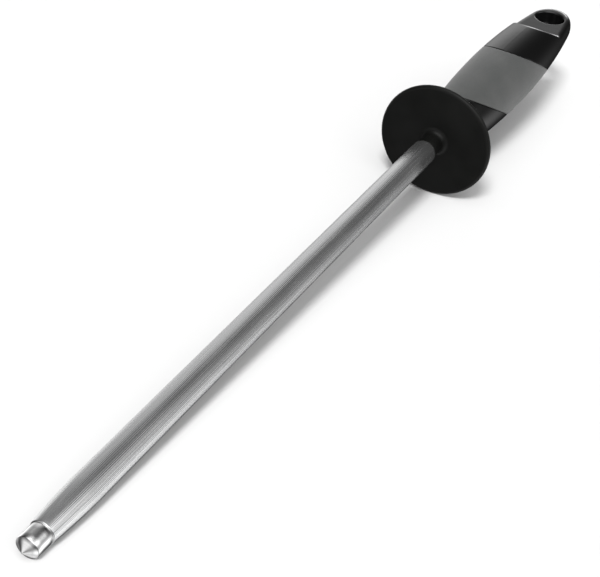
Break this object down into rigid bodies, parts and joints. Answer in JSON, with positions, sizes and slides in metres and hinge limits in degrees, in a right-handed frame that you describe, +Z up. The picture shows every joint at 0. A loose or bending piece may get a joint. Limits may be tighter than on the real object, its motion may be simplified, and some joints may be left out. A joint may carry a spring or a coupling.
{
  "type": "knife sharpening steel",
  "caption": "Round ribbed sharpening steel with a turned tip, a round finger guard and a soft-grip handle that ends in a flat lug with a hang hole.",
  "frame": {"origin": "under the middle of the object's box: centred between the rod's tip and the handle's end, on the rod axis's vertical plane, level with the lowest point of the guard's rim", "axes": "+X along the rod towards its tip, +Y across the handle, +Z up along the hang hole's axis, out of the lug's upper face"},
  "size_m": [0.3932, 0.0458, 0.0458],
  "materials": {
    "ribbed_steel": "finely ribbed along its length, hard chromed, with a bright turned tip",
    "black_guard_plastic": "satin moulded",
    "black_handle_plastic": "polished moulded",
    "grey_soft_grip": "fine matt soft-touch elastomer",
    "pin_steel": "plain ground"
  },
  "bodies": {
    "root": {"sharpening_rod": "ribbed_steel", "finger_guard": "black_guard_plastic", "handle_core": "black_handle_plastic", "grip_sleeve": "grey_soft_grip", "tang_pin": "pin_steel"}
  },
  "joints": []
}
